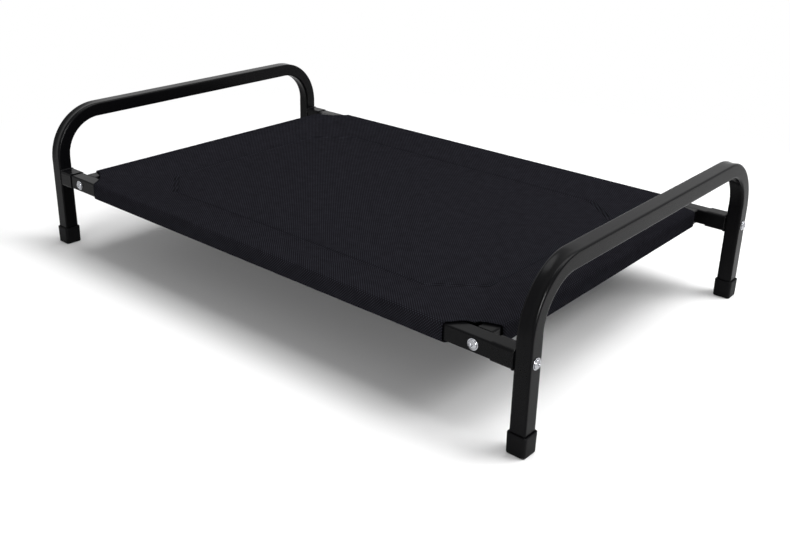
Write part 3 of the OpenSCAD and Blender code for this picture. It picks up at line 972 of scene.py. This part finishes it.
class DOGBED_OT_stage(bpy.types.Operator):
    """White floor, soft studio light and the camera"""
    bl_idname = "dogbed.stage"
    bl_label = "Studio"

    # Where the camera looks, and from how far, in metres and degrees
    target = (0.0815, -0.0695, 0.1)
    distance = 1.2938
    azimuth = 40.03
    elevation = 21.75
    roll = 1.34
    # Focal length and shift as shares of the sensor's width, which is in millimetres
    sensor = 36
    focal_share = 1.2240506
    shift_share = -0.0632911

    def stand(self, context, name, data, right, up, back, place):
        """Stands a camera or lamp at a place, with its X, Y and Z along right, up and back."""
        thing = bpy.data.objects.new(name, data)
        matrix = np.eye(4)
        matrix[:3] = np.stack([right, up, back, place], 1)
        thing.matrix_world = matrix.T
        context.scene.collection.objects.link(thing)
        return thing

    def camera(self, context):
        """Camera on a sphere round its target, with its right side lifted by roll."""
        az, el, roll = (math.radians(a) for a in (self.azimuth, self.elevation, self.roll))
        back = np.array([math.sin(az) * math.cos(el), -math.cos(az) * math.cos(el), math.sin(el)])
        right = np.array([math.cos(az), math.sin(az), 0.0])
        up = np.cross(back, right)
        turned_right = math.cos(roll) * right + math.sin(roll) * up
        turned_up = -math.sin(roll) * right + math.cos(roll) * up
        data = bpy.data.cameras.new("camera")
        data.sensor_width = self.sensor
        data.lens = self.sensor * self.focal_share
        data.shift_y = self.shift_share
        data.clip_start, data.clip_end = 0.05, 60
        place = np.array(self.target) + back * self.distance
        camera = self.stand(context, "camera", data, turned_right, turned_up, back, place)
        context.scene.camera = camera

    def seen_rays(self, tree):
        """One for rays that the eye follows: straight, reflected or refracted."""
        rays = add_node(tree, "ShaderNodeLightPath")
        seen = rays.outputs["Is Camera Ray"]
        for kind in ("Is Glossy Ray", "Is Transmission Ray"):
            both = add_node(tree, "ShaderNodeMath", {0: seen, 1: rays.outputs[kind]}, operation="MAXIMUM")
            seen = both.outputs[0]
        return seen

    def lamp(self, context, name, place, size, power):
        """Soft box at a place, facing the bed."""
        data = bpy.data.lights.new(name, "AREA")
        data.shape = "RECTANGLE"
        data.size, data.size_y = size
        data.energy = power
        toward = np.array([0, 0, 0.1]) - np.array(place)
        back = -toward / np.linalg.norm(toward)
        right = np.cross([0, 0, 1.0], back)
        right = right / np.linalg.norm(right)
        return self.stand(context, name, data, right, np.cross(back, right), back, place)

    def execute(self, context):
        scene = context.scene
        material, tree, output = new_material("matt_white_floor")
        shader = add_node(tree, "ShaderNodeBsdfDiffuse", {"Color": (*scene.dog_bed_colours.floor, 1.0)})
        glow = add_node(tree, "ShaderNodeEmission", {"Color": (1, 1, 1, 1), "Strength": 1.0})
        # The floor turns to plain white between 0.65 and 1.1 m from the middle, past the bed's shadow
        place = add_node(tree, "ShaderNodeTexCoord").outputs["Object"]
        away = add_node(tree, "ShaderNodeVectorMath", {0: place}, operation="LENGTH")
        fade = add_node(
            tree, "ShaderNodeMapRange",
            {"Value": away.outputs["Value"], "From Min": 0.65, "From Max": 1.1},
            interpolation_type="SMOOTHSTEP")
        seen = self.seen_rays(tree)
        share = add_node(
            tree, "ShaderNodeMath", {0: fade.outputs["Result"], 1: seen}, operation="MULTIPLY")
        mixed = add_node(tree, "ShaderNodeMixShader", {
            0: share.outputs[0], 1: shader.outputs[0], 2: glow.outputs[0]})
        tree.links.new(mixed.outputs[0], output.inputs["Surface"])
        # The floor reaches far past the picture, and lies just under the feet
        reach, under = 15.0, 0.1 * MM
        corners = [[-reach, -reach, 0], [reach, -reach, 0], [-reach, reach, 0], [reach, reach, 0]]
        points = np.array(corners).reshape(2, 2, 3) - [0, 0, under]
        mesh = bpy.data.meshes.new("floor")
        part = grid_part(points)
        mesh.from_pydata(part[0].tolist(), [], part[1].tolist())
        mesh.materials.append(material)
        floor = bpy.data.objects.new("floor", mesh)
        scene.collection.objects.link(floor)

        world = bpy.data.worlds.new("studio")
        scene.world = world
        world.use_nodes = True
        tree = world.node_tree
        tree.nodes.clear()
        seen = self.seen_rays(tree)
        soft = add_node(tree, "ShaderNodeBackground", {"Color": (1, 1, 1, 1), "Strength": 0.3})
        white = add_node(tree, "ShaderNodeBackground", {"Color": (1, 1, 1, 1), "Strength": 1.0})
        mixed = add_node(tree, "ShaderNodeMixShader", {
            0: seen, 1: soft.outputs[0], 2: white.outputs[0]})
        add_node(tree, "ShaderNodeOutputWorld", {"Surface": mixed.outputs[0]})

        self.lamp(context, "key", (1.9, 1.3, 2.6), (1.8, 1.8), 85)
        self.lamp(context, "overhead", (0.1, 0.3, 3.0), (1.8, 1.8), 60)
        # The front lamp lifts the cloth's front edge, and doesn't show in the coat
        self.lamp(context, "front", (0.5, -2.9, 0.9), (1.6, 0.5), 30).visible_glossy = False
        # The side lamp only draws highlights, so it casts no second shadow
        self.lamp(context, "side", (2.3, -1.15, 0.9), (0.25, 1.0), 90).visible_diffuse = False
        self.camera(context)
        scene.view_settings.view_transform = "Standard"
        return {"FINISHED"}


class DOGBED_PT_panel(bpy.types.Panel):
    """Steps that build the dog bed, in order"""
    bl_idname = "DOGBED_PT_panel"
    bl_label = "Dog Bed"
    bl_space_type = "VIEW_3D"
    bl_region_type = "UI"
    bl_category = "Dog Bed"

    def draw(self, context):
        for step in STEPS:
            self.layout.operator(step.bl_idname)


STEPS = (
    DOGBED_OT_steel, DOGBED_OT_plugs, DOGBED_OT_welds, DOGBED_OT_foot_caps,
    DOGBED_OT_fasteners, DOGBED_OT_cloth, DOGBED_OT_stitching, DOGBED_OT_stage,
)
CLASSES = (DogBedSizes, DogBedColours, *STEPS, DOGBED_PT_panel)


def register():
    for item in CLASSES:
        bpy.utils.register_class(item)
    bpy.types.Scene.dog_bed_sizes = bpy.props.PointerProperty(type=DogBedSizes)
    bpy.types.Scene.dog_bed_colours = bpy.props.PointerProperty(type=DogBedColours)


def unregister():
    del bpy.types.Scene.dog_bed_colours
    del bpy.types.Scene.dog_bed_sizes
    for item in reversed(CLASSES):
        bpy.utils.unregister_class(item)


def main():
    register()
    bpy.ops.dogbed.steel()
    bpy.ops.dogbed.plugs()
    bpy.ops.dogbed.welds()
    bpy.ops.dogbed.foot_caps()
    bpy.ops.dogbed.fasteners()
    bpy.ops.dogbed.cloth()
    bpy.ops.dogbed.stitching()
    bpy.ops.dogbed.stage()


if __name__ == "__main__":
    main()
